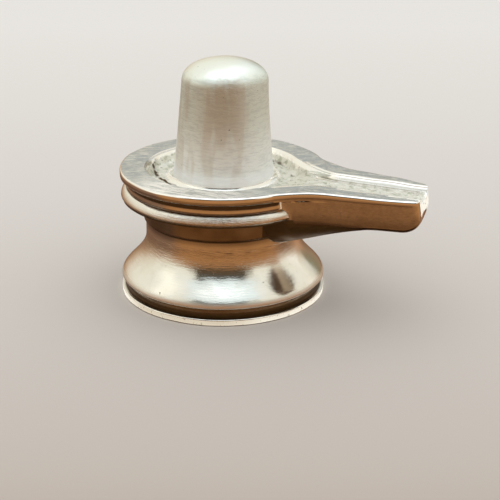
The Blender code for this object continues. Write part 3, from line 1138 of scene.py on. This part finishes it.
@dataclass
class NodeBench:
    """Adds nodes to a material's or a world's tree."""

    tree: bpy.types.NodeTree

    def node(self, kind: str, settings: dict[str, object], inputs: dict[int | str, object],
             output: int | str = 0) -> Wire:
        """One node.

        Args:
            kind: The node's type.
            settings: Its own settings, set before its sockets.
            inputs: Values or wires for its input sockets, by index or name.
            output: The output socket to hand back.

        Returns:
            The output socket, wrapped.
        """
        made = self.tree.nodes.new(kind)
        for name, value in settings.items():
            if name == "stops":
                self.fill_ramp(made.color_ramp, value)
            else:
                setattr(made, name, value)
        self.plug(made, inputs)
        return Wire(self, made.outputs[output])

    def plug(self, made: bpy.types.Node, inputs: dict[int | str, object]) -> None:
        """Fills a node's input sockets.

        Args:
            made: The node.
            inputs: Values or wires, by index or name.
        """
        for key, value in inputs.items():
            if isinstance(value, Wire):
                self.tree.links.new(value.socket, made.inputs[key])
            else:
                made.inputs[key].default_value = value

    def fill_ramp(self, ramp: bpy.types.ColorRamp, stops: list[tuple[float, Tint]]) -> None:
        """Sets a colour ramp's stops.

        Args:
            ramp: A new ramp, which has two stops.
            stops: Places from 0 to 1 and colours.
        """
        for place, tint in stops[2:]:
            ramp.elements.new(place).color = tint
        for element, (place, tint) in zip(ramp.elements, sorted(stops)):
            element.position = place
            element.color = tint

    def split(self, place: Wire) -> list[Wire]:
        """The three numbers of a vector."""
        made = self.node("ShaderNodeSeparateXYZ", {}, {0: place}).socket.node
        return [Wire(self, socket) for socket in made.outputs]

    def noise(self, x: Wire, y: Wire, z: Wire, detail: float, rough: float, warp: float = 0.0) -> Wire:
        """Noise of scale 1 over a place, from 0 to 1.

        Args:
            x: First number of the place.
            y: Second number.
            z: Third number.
            detail: How many finer layers it has.
            rough: Weight of each layer against the one before.
            warp: How far the place is bent first.

        Returns:
            The noise.
        """
        place = self.node("ShaderNodeCombineXYZ", {}, {0: x, 1: y, 2: z})
        inputs = {"Vector": place, "Scale": 1.0, "Detail": detail, "Roughness": rough, "Distortion": warp}
        return self.node("ShaderNodeTexNoise", {}, inputs)

    def object_place(self) -> Wire:
        """The point in the object's own coordinates, in metres."""
        return self.node("ShaderNodeTexCoord", {}, {}, "Object")

    def mix(self, share: "Wire | float", start: "Wire | tuple", end: "Wire | tuple") -> Wire:
        """A colour between two others."""
        return self.node("ShaderNodeMix", {"data_type": "RGBA"}, {0: share, 6: start, 7: end}, 2)

    def by_elevation(self, z: Wire, stops: list[tuple[float, Point]]) -> Wire:
        """A colour that runs from stop to stop over the elevation of a direction whose sine is z.

        Args:
            z: The sine.
            stops: Elevations in degrees and colours.

        Returns:
            The colour.
        """
        places = [((np.sin(np.radians(degrees)) + 1.0) / 2.0, (*tint, 1.0)) for degrees, tint in stops]
        return self.node("ShaderNodeValToRGB", {"stops": places}, {0: (z + 1.0) * 0.5})

    def attribute(self, name: str) -> Wire:
        """A number that the mesh carries for each point."""
        return self.node("ShaderNodeAttribute", {"attribute_name": name}, {}, "Fac")


def blank_material(name: str) -> tuple[bpy.types.Material, NodeBench, bpy.types.Node]:
    """A new material.

    Args:
        name: Its name.

    Returns:
        The material, the bench for its tree, and its shader node.
    """
    material = bpy.data.materials.new(name)
    material.use_nodes = True
    tree = material.node_tree
    return material, NodeBench(tree), tree.nodes["Principled BSDF"]


class MetalMap:
    """Where a point lies on the casting and which marks cross it there, as wires. In millimetres."""

    def __init__(self, bench: NodeBench) -> None:
        """Adds the nodes for the place, the casting's stretches and the marks.

        Args:
            bench: The material's nodes.
        """
        self.bench = bench
        metres = bench.object_place()
        place = bench.node("ShaderNodeVectorMath", {"operation": "SCALE"}, {0: metres, "Scale": 1000.0})
        self.x, self.y, self.z = bench.split(place)
        self.radius = (self.x * self.x + self.y * self.y).power(0.5)
        self.round_x = self.x / self.radius.at_least(0.5)
        self.round_y = self.y / self.radius.at_least(0.5)
        self.cast, self.grime_and_shade, self.tarnish, self.burnished = (bench.attribute(skin.value) for skin in Skin)
        self.find_stretches()
        self.file_marks()
        self.cast_marks()
        self.find_finishes()

    def find_stretches(self) -> None:
        """The shaft, the plate's top, the spout, the bell and the other stretches that are finished alike."""
        x, y, z, radius = self.x, self.y, self.z, self.radius
        self.spout = radius.ease(19.8, 20.8)
        self.shaft = z.ease(23.6, 24.4) * radius.ease(11.2, 10.8)
        self.top = z.within(24.9, 25.8, 0.1) * radius.ease(14.4, 14.8) * (1.0 - self.burnished)
        self.bell = z.within(3.9, 13.6, 0.6) * (1.0 - self.spout)
        self.bead = z.within(19.9, 21.5, 0.15) * radius.ease(18.9, 19.2) * (1.0 - self.spout)
        self.skirt = z.within(3.3, 4.5, 0.4) * radius.ease(19.2, 19.6)
        self.ring = z.ease(1.5, 1.3) * radius.ease(18.8, 19.2)
        self.worn = y.ease(-8.0, -14.0) * x.within(-9.0, 13.0, 5.0) * self.top
        self.brink = x.ease(20.0, 24.0) * (y * y).ease(19.4, 16.0) * z.ease(24.3, 24.7)
        self.straight = self.top.at_least(self.spout)

    def file_marks(self) -> None:
        """Marks of the file and the lathe: noises drawn out along the stroke or round the axis."""
        noise, x, y, z, around, across = self.bench.noise, self.x, self.y, self.z, self.round_x, self.round_y
        along = z + self.radius * 0.6
        turned = 1.0 - self.spout
        self.hair = noise(around * 6.0, across * 6.0, along * 5.0, 3.0, 0.7)
        self.lines = noise(around * 3.0, across * 3.0, along * 1.7, 3.0, 0.65)
        self.strokes = noise(x * 0.32 + y * 0.14, y * 1.5 - x * 0.62 * turned, z * 1.5, 6.0, 0.8, 0.3)
        self.chatter = noise(around * 14.0 + z * 0.8, across * 14.0, z * 4.6, 4.0, 0.75, 0.4)
        self.slant = noise(around * 9.0 + z * 0.8, across * 9.0 + z * 1.4, z * 3.8, 4.0, 0.7, 0.5)
        self.swirl = noise(around * 7.0, across * 7.0, z * 1.9 + around * 3.0, 3.0, 0.6, 0.5)
        self.fine = noise(x * 0.22, y * 3.4 + x * 0.25, z, 4.0, 0.75, 0.2)
        self.facet = noise(around * 2.6, across * 2.6, z * 0.05, 2.0, 0.6)

    def even_noise(self, rate: float, detail: float, rough: float, warp: float = 0.0) -> Wire:
        """Noise alike in all directions, with a rate per millimetre."""
        return self.bench.noise(self.x * rate, self.y * rate, self.z * rate, detail, rough, warp)

    def cast_marks(self) -> None:
        """Marks of the mould and of use: mottling, blotches, grain, pits and specks."""
        self.mottle = self.even_noise(0.75, 3.0, 0.6, 0.5)
        self.blotch = self.even_noise(0.16, 3.0, 0.55)
        self.grain = self.even_noise(2.2, 4.0, 0.65)
        self.pits = self.even_noise(1.5, 1.0, 0.4).ease(0.79, 0.84)
        self.specks = self.even_noise(1.5, 3.0, 0.7).ease(0.58, 0.68) * (0.75 * self.cast + 0.55 * self.ring)

    def find_finishes(self) -> None:
        """The shaft's satin below its ragged polished dome, and the stain of dirt and painted shade."""
        self.dome = (self.z + self.lines * 2.0 - 2.0 + self.swirl * 2.4 - self.x * 0.06).ease(43.2, 45.4)
        self.satin = self.shaft * (1.0 - self.dome)
        self.stain_and_shade = (self.grime_and_shade * (0.55 + 0.9 * self.grain)).at_most(1.0)


@dataclass(frozen=True)
class WhiteMetal:
    """Cast white metal, filed round its turned walls and lightly polished, with tarnish in its hollows, dirt
    and painted shade in its creases, and a painted reflection of the dish low on the shaft.
    """

    bright: Tint = (0.80, 0.77, 0.70, 1.0)
    brushed: Tint = (0.85, 0.91, 0.85, 1.0)
    # painted reflection: the pale colour low on the satin shaft stands in for the bright dish that it mirrors
    pale: Tint = (0.96, 0.98, 0.94, 1.0)
    warm: Tint = (0.70, 0.64, 0.54, 1.0)
    dull: Tint = (0.37, 0.40, 0.405, 1.0)
    # dark brown of dirt, also used as painted shade in creases, grooves and along the keel
    dirt_and_shade: Tint = (0.075, 0.036, 0.010, 1.0)
    tarnish: Tint = (0.15, 0.105, 0.055, 1.0)
    cast: Tint = (0.74, 0.74, 0.66, 1.0)
    mottled: Tint = (0.40, 0.42, 0.31, 1.0)
    polished: Tint = (0.93, 0.91, 0.87, 1.0)
    gloss: float = 0.08
    specular: float = 0.15

    def height(self, at: MetalMap) -> Wire:
        """How high the marks stand, in millimetres: a sum of noises, each with its depth where it shows.

        Args:
            at: The casting's stretches and marks.

        Returns:
            The height.
        """
        round_wall = 1.0 - at.straight
        on_bead = at.bead * at.round_x.within(-0.35, 0.75, 0.2)
        below_dome = at.shaft * at.z.within(40.6, 43.6, 1.2)
        deep = [
            (at.lines * round_wall, 0.014 + 0.038 * at.satin + 0.02 * at.dome),
            (at.strokes * at.straight, 0.012 + 0.10 * at.top),
            (at.slant * at.bell, 0.018 + 0.045 * at.z.ease(8.6, 10.8)),
            (at.specks, -0.03),
            (at.chatter * on_bead, 0.11),
            (at.swirl * below_dome, 0.10),
            (at.grain, 0.008 + 0.14 * at.cast + 0.006 * at.tarnish),
            (at.pits, -0.05),
        ]
        height = at.hair * round_wall * (0.017 + 0.045 * at.satin)
        for marks, depth in deep:
            height = height + marks * depth
        return height

    def tint(self, at: MetalMap) -> Wire:
        """The metal's colour, layer over layer; among the layers are painted shade and a painted reflection.

        Args:
            at: The casting's stretches and marks.

        Returns:
            The colour.
        """
        scored = (0.25 + 1.3 * at.strokes.ease(0.62, 0.36)).at_most(1.0)
        side = at.spout * (1.0 - at.top) * (1.0 - at.burnished)
        streaks = (at.hair * 0.5 + at.lines * 0.5).ease(0.54, 0.42)
        base = self.bright
        for share, tint in [
            (at.blotch.ease(0.42, 0.68) * 0.45, self.warm),
            (at.shaft * (0.6 + 0.4 * at.satin), self.brushed),
            # painted reflection of the dish: the satin shaft turns paler towards its foot
            (at.satin * at.z.ease(39.0, 27.0), self.pale),
            (streaks * at.satin * 0.17, self.dull),
            (at.facet.ease(0.49, 0.60) * at.satin * 0.38, self.warm),
            (at.top * scored * (1.0 - at.worn), self.dull),
            (at.worn * at.fine.ease(0.53, 0.43) * 0.7, self.dull),
            (at.worn * at.fine.ease(0.44, 0.54) * 0.9, self.polished),
            (side * at.mottle.ease(0.36, 0.66) * 0.15, self.tarnish),
            (at.cast * (0.45 + 0.5 * at.grain), self.cast),
            (at.cast * at.mottle.ease(0.50, 0.66) * 0.7, self.mottled),
            (at.tarnish * (0.6 + 0.5 * at.blotch), self.tarnish),
            # painted shade with dirt: the stain darkens creases, grooves, the dish's corner and the keel's
            # sides
            (at.stain_and_shade.ease(0.05, 0.75), self.dirt_and_shade),
            (at.burnished * 0.7 * (1.0 - at.tarnish), self.polished),
            (at.pits.at_least(at.specks) * 0.7, self.dirt_and_shade),
        ]:
            base = at.bench.mix(share, base, tint)
        return base

    def roughness(self, at: MetalMap) -> Wire:
        """The gloss's own roughness plus a share for each stretch and finish.

        Args:
            at: The casting's stretches and marks.

        Returns:
            The roughness.
        """
        rough = self.gloss + 0.08 * at.blotch + 0.20 * at.shaft + 0.38 * at.satin + 0.22 * at.top
        rough = rough + 0.25 * at.brink + 0.28 * at.cast + 0.14 * at.bead + 0.42 * at.skirt
        return rough + 0.25 * at.worn + 0.20 * at.stain_and_shade + 0.08 * at.tarnish - 0.06 * at.burnished

    def metallic(self, at: MetalMap) -> Wire:
        """Full metal less a dull haze on the filed and cast stretches, and less the dirt and its painted
        shade.

        Args:
            at: The casting's stretches and marks.

        Returns:
            How metallic it is.
        """
        # the haze low on the satin shaft lets its pale colour take the room's even light, as part of its
        # painted reflection of the dish
        haze = 0.26 * at.satin * at.z.ease(38.0, 27.0) + 0.12 * at.satin * at.round_x.ease(0.55, 0.85)
        haze = haze + 0.8 * at.shaft * at.burnished + 0.12 * at.cast
        return (1.0 - haze - 0.8 * at.stain_and_shade.ease(0.45, 0.95)).at_least(0.0)

    def make(self, name: str) -> bpy.types.Material:
        """The material with its procedural nodes.

        Args:
            name: The material's name.

        Returns:
            The new material.
        """
        material, bench, shader = blank_material(name)
        at = MetalMap(bench)
        bump = {"Strength": 1.0, "Distance": MM, "Height": self.height(at)}
        bench.plug(shader, {
            "Base Color": self.tint(at),
            "Roughness": self.roughness(at),
            "Metallic": self.metallic(at),
            "Normal": bench.node("ShaderNodeBump", {}, bump, "Normal"),
            "Specular IOR Level": self.specular,
        })
        return material


def face(made: bpy.types.Object, side: np.ndarray, above: np.ndarray, back: np.ndarray, place: Point) -> None:
    """Links and turns a camera or a lamp: its matrix columns are right, up, back and its place.

    Args:
        made: The new object.
        side: Its direction to the right.
        above: Its direction up.
        back: The direction away from what it faces.
        place: Where it stands.
    """
    bpy.context.scene.collection.objects.link(made)
    matrix = np.eye(4)
    matrix[:3] = np.stack([side, above, back, place], axis=1)
    made.matrix_world = matrix.T.tolist()


@dataclass(frozen=True)
class Studio:
    """A plain pale floor, soft light and the camera at the photograph's angle."""

    camera_at: Point = (0.10897, -0.23769, 0.11096)
    forward: Point = (-0.3702, 0.8531, -0.3677)
    up: Point = (-0.1495, 0.3359, 0.9300)
    focal_pixels: float = 1416.04
    picture_pixels: float = 500.0
    floor_size: float = 3.0
    kerb_radius: float = 21.0 * MM
    kerb_height: float = 1.1 * MM
    kerb_inner: float = 20.08 * MM
    card_from: float = 125.0
    card_to: float = 190.0
    card_off: float = 30.0 * MM
    card_bottom: float = 11.0 * MM
    card_top: float = 22.5 * MM
    glow: Tint = (1.06, 1.02, 0.93, 1.0)
    glow_near: Tint = (0.80, 0.72, 0.60, 1.0)
    # painted light falloff: the floor's colour runs from this darker near tint to the paler far one
    floor_shaded_near: Tint = (0.509, 0.440, 0.381, 1.0)
    floor_lit_far: Tint = (0.818, 0.795, 0.755, 1.0)
    lit: Tint = (0.92, 0.92, 0.92, 1.0)

    def camera(self) -> bpy.types.Object:
        """The camera: its matrix columns are right, up and back, worked out from the view direction.

        Returns:
            The scene's camera.
        """
        data = bpy.data.cameras.new("photo_camera")
        data.sensor_width = 36.0
        data.sensor_fit = "HORIZONTAL"
        data.lens = self.focal_pixels / self.picture_pixels * data.sensor_width
        data.clip_start = 0.01
        data.clip_end = 20.0
        made = bpy.data.objects.new("photo_camera", data)
        forward = np.array(self.forward) / np.linalg.norm(self.forward)
        right = np.cross(forward, self.up)
        right /= np.linalg.norm(right)
        face(made, right, np.cross(right, forward), -forward, self.camera_at)
        bpy.context.scene.camera = made
        return made

    def paint(self) -> bpy.types.Material:
        """The floor's matt paint with a painted falloff of light: darker in front of the object and paler
        with the root of the distance behind it.

        Returns:
            The material.
        """
        material, bench, shader = blank_material("pale_floor")
        inputs = {0: bench.object_place(), 1: (-0.4, 0.92, 0.0)}
        away = bench.node("ShaderNodeVectorMath", {"operation": "DOT_PRODUCT"}, inputs, "Value")
        share = ((away + 0.085) / 0.32).at_least(0.0).power(0.5).at_most(1.0)
        tint = bench.mix(share, self.floor_shaded_near, self.floor_lit_far)
        bench.plug(shader, {"Base Color": tint, "Roughness": 0.9, "Specular IOR Level": 0.1})
        return material

    def shine(self) -> bpy.types.Material:
        """The glow of a lit surface, weaker on the camera's side.

        Returns:
            The material.
        """
        material, bench, shader = blank_material("floor_glow")
        _, y, _ = bench.split(bench.object_place())
        tint = bench.mix(y.ease(-0.013, -0.0195), self.glow, self.glow_near)
        black = (0.0, 0.0, 0.0, 1.0)
        bench.plug(shader, {"Base Color": black, "Emission Color": tint, "Emission Strength": 1.0})
        return material

    def stand(self, name: str, rows: list, faces: list, material: bpy.types.Material, mirrored: bool) -> None:
        """Makes a studio object that either only reflections show or all but reflections.

        Args:
            name: Its name.
            rows: Its points.
            faces: Its faces.
            material: What it is made of.
            mirrored: Whether only reflections show it.
        """
        mesh = bpy.data.meshes.new(name)
        mesh.from_pydata(rows, [], faces)
        mesh.materials.append(material)
        made = bpy.data.objects.new(name, mesh)
        bpy.context.scene.collection.objects.link(made)
        if mirrored:
            made.visible_camera = made.visible_diffuse = False
            made.visible_shadow = made.visible_transmission = False
        else:
            made.visible_glossy = False

    def floor(self) -> None:
        """The wide pale floor, which the metal does not mirror."""
        half = self.floor_size
        corners = [(-half, -half, 0.0), (half, -half, 0.0), (half, half, 0.0), (-half, half, 0.0)]
        self.stand("studio_floor", corners, [(0, 1, 2, 3)], self.paint(), False)

    def kerb(self, shine: bpy.types.Material) -> None:
        """The glow of the lit floor close round the foot: a low ring of light that only reflections show.

        Args:
            shine: The glowing material.
        """
        sides = 128
        low = 0.02 * MM
        angle = np.linspace(0.0, 2.0 * np.pi, sides, endpoint=False)
        circle = np.stack([np.cos(angle), np.sin(angle), np.ones(sides)], axis=1)
        profile = [(self.kerb_inner, low), (self.kerb_radius, low), (self.kerb_radius, self.kerb_height)]
        ring = np.concatenate([circle * (radius, radius, z) for radius, z in profile])
        index = np.arange(sides)
        following = np.roll(index, -1)
        faces = np.stack([index, index + sides, following + sides, following], axis=1)
        self.stand("floor_glow", ring.tolist(), np.concatenate([faces, faces + sides]).tolist(), shine, True)

    def card(self, shine: bpy.types.Material) -> None:
        """A small card that glows with its own light, stands behind the spout's tip and shows only in
        reflections.

        Args:
            shine: The glowing material.
        """
        count = 9
        way = np.radians(np.linspace(self.card_from, self.card_to, count))
        foot = np.stack([np.sin(way), -np.cos(way)], axis=1) * self.card_off + (Spout.reach, 0.0)
        rows = [np.column_stack([foot, np.full(count, z)]) for z in (self.card_bottom, self.card_top)]
        faces = [(step, step + 1, step + 1 + count, step + count) for step in range(count - 1)]
        self.stand("tip_card", np.concatenate(rows).tolist(), faces, shine, True)

    def light(self, name: str, place: Point, size: Span, power: float, tint: Point) -> bpy.types.Object:
        """A soft rectangular lamp that faces the object.

        Args:
            name: The lamp's name.
            place: Where it stands.
            size: Its width and height.
            power: Its power in watts.
            tint: Its colour.

        Returns:
            The lamp.
        """
        data = bpy.data.lights.new(name, "AREA")
        data.shape = "RECTANGLE"
        data.size, data.size_y = size
        data.energy = power
        data.color = tint
        made = bpy.data.objects.new(name, data)
        back = np.array(place) - np.array((0.0, 0.0, 0.02))
        back /= np.linalg.norm(back)
        side = np.cross((0.0, 1.0, 0.0), back)
        side /= np.linalg.norm(side)
        face(made, side, np.cross(back, side), back, place)
        made.visible_camera = False
        made.visible_glossy = False
        return made

    def bands(self, bench: NodeBench, z: Wire, azimuth: Wire) -> Wire:
        """The colours that the metal mirrors: pale all round, browner low down, greyer on the far left.

        In front stand three bands: a low brown one, a dark one above it and a pale blue one over that.

        Args:
            bench: The world's nodes.
            z: Sine of the elevation.
            azimuth: In degrees, 0 along -Y and growing towards +X.

        Returns:
            The colour.
        """
        around = bench.by_elevation(z, [
            (-50, (0.09, 0.045, 0.025)), (-21, (0.20, 0.11, 0.07)), (-9, (0.36, 0.21, 0.12)),
            (-1, (0.60, 0.43, 0.29)), (9, (0.86, 0.78, 0.66)), (21, (0.98, 0.96, 0.84)),
            (60, (1.04, 1.05, 1.0)), (72, (1.7, 1.75, 1.85)),
        ])
        behind = bench.by_elevation(z, [
            (-50, (0.09, 0.045, 0.025)), (-14, (0.26, 0.14, 0.08)), (-3, (0.34, 0.24, 0.15)),
            (7, (0.28, 0.25, 0.16)), (13, (0.45, 0.45, 0.38)), (20, (0.80, 0.84, 0.82)),
            (34, (0.98, 1.01, 0.98)), (72, (1.7, 1.75, 1.85)),
        ])
        front = bench.by_elevation(z, [
            (-60, (0.03, 0.012, 0.004)), (-39, (0.07, 0.025, 0.008)), (-31, (0.28, 0.13, 0.055)),
            (-20, (0.45, 0.21, 0.078)), (-4, (0.47, 0.22, 0.084)), (15, (0.40, 0.21, 0.10)),
            (17.5, (0.12, 0.06, 0.02)), (34, (0.11, 0.078, 0.045)), (48.5, (0.09, 0.094, 0.087)),
            (50.5, (0.90, 1.02, 1.06)), (62, (1.0, 1.14, 1.2)), (72, (1.7, 1.8, 1.9)),
        ])
        dark_from, blue_from = z.ease(0.27, 0.31), z.ease(0.755, 0.78)
        share = azimuth.within(-47.0, 112.0, 13.0) * (1.0 - dark_from)
        share = share + azimuth.within(-21.0, 63.0, 3.0) * (dark_from - blue_from)
        share = share + azimuth.within(-38.0, 84.0, 3.5) * blue_from
        seen = bench.mix(azimuth.size().ease(152.0, 170.0), around, behind)
        return bench.mix(share, seen, front)

    def room(self) -> bpy.types.World:
        """The surroundings: even light for all but reflections, which see the bands with three soft patches.

        Returns:
            The scene's world.
        """
        world = bpy.data.worlds.new("soft_room")
        bpy.context.scene.world = world
        world.use_nodes = True
        bench = NodeBench(world.node_tree)
        x, y, z = bench.split(bench.node("ShaderNodeTexCoord", {}, {}, "Generated"))
        azimuth = bench.node("ShaderNodeMath", {"operation": "ARCTAN2"}, {0: x, 1: 0.0 - y}) * (180.0 / np.pi)
        second = bench.node("ShaderNodeLightPath", {}, {}, "Glossy Depth").ease(1.4, 1.6)
        lamp = azimuth.within(-76.0, -52.0, 9.0) * z.within(0.48, 0.86, 0.08)
        orange = azimuth.within(152.0, 178.0, 5.0) * z.within(-0.75, -0.12, 0.08)
        low_glow = second * z.within(-0.45, 0.05, 0.08) * azimuth.within(58.0, 127.0, 8.0)
        seen = bench.mix(lamp, self.bands(bench, z, azimuth), (1.28, 1.28, 1.15, 1.0))
        seen = bench.mix(orange * 0.6, seen, (0.80, 0.42, 0.23, 1.0))
        seen = bench.mix(low_glow * 0.9, seen, (1.65, 1.52, 1.35, 1.0))
        seen = bench.mix(bench.node("ShaderNodeLightPath", {}, {}, "Is Glossy Ray"), self.lit, seen)
        bench.plug(world.node_tree.nodes["Background"], {"Color": seen, "Strength": 1.0})
        return world

    def set_up(self) -> None:
        """Stands the floor, the lights and the camera."""
        self.floor()
        shine = self.shine()
        self.kerb(shine)
        self.card(shine)
        self.room()
        self.light("overhead_softbox", (-0.04, 0.02, 0.80), (0.90, 0.90), 0.6, (1.0, 1.0, 1.0))
        self.camera()
        bpy.context.scene.view_settings.view_transform = "Standard"


def main() -> None:
    """Builds the casting, dresses it, sets up the studio and reports what was made."""
    casting = Casting()
    piece = casting.build("cast_lingam")
    piece.data.materials.append(WhiteMetal().make("filed_white_metal"))
    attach(piece, "root")
    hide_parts("shiva_lingam")
    LOG.info("casting: %d points, %d faces", len(piece.data.vertices), len(piece.data.polygons))
    Studio().set_up()
    LOG.info("studio: floor, room, lamps and camera")


if __name__ == "__main__":
    logging.basicConfig(level=logging.INFO, format="%(message)s")
    main()
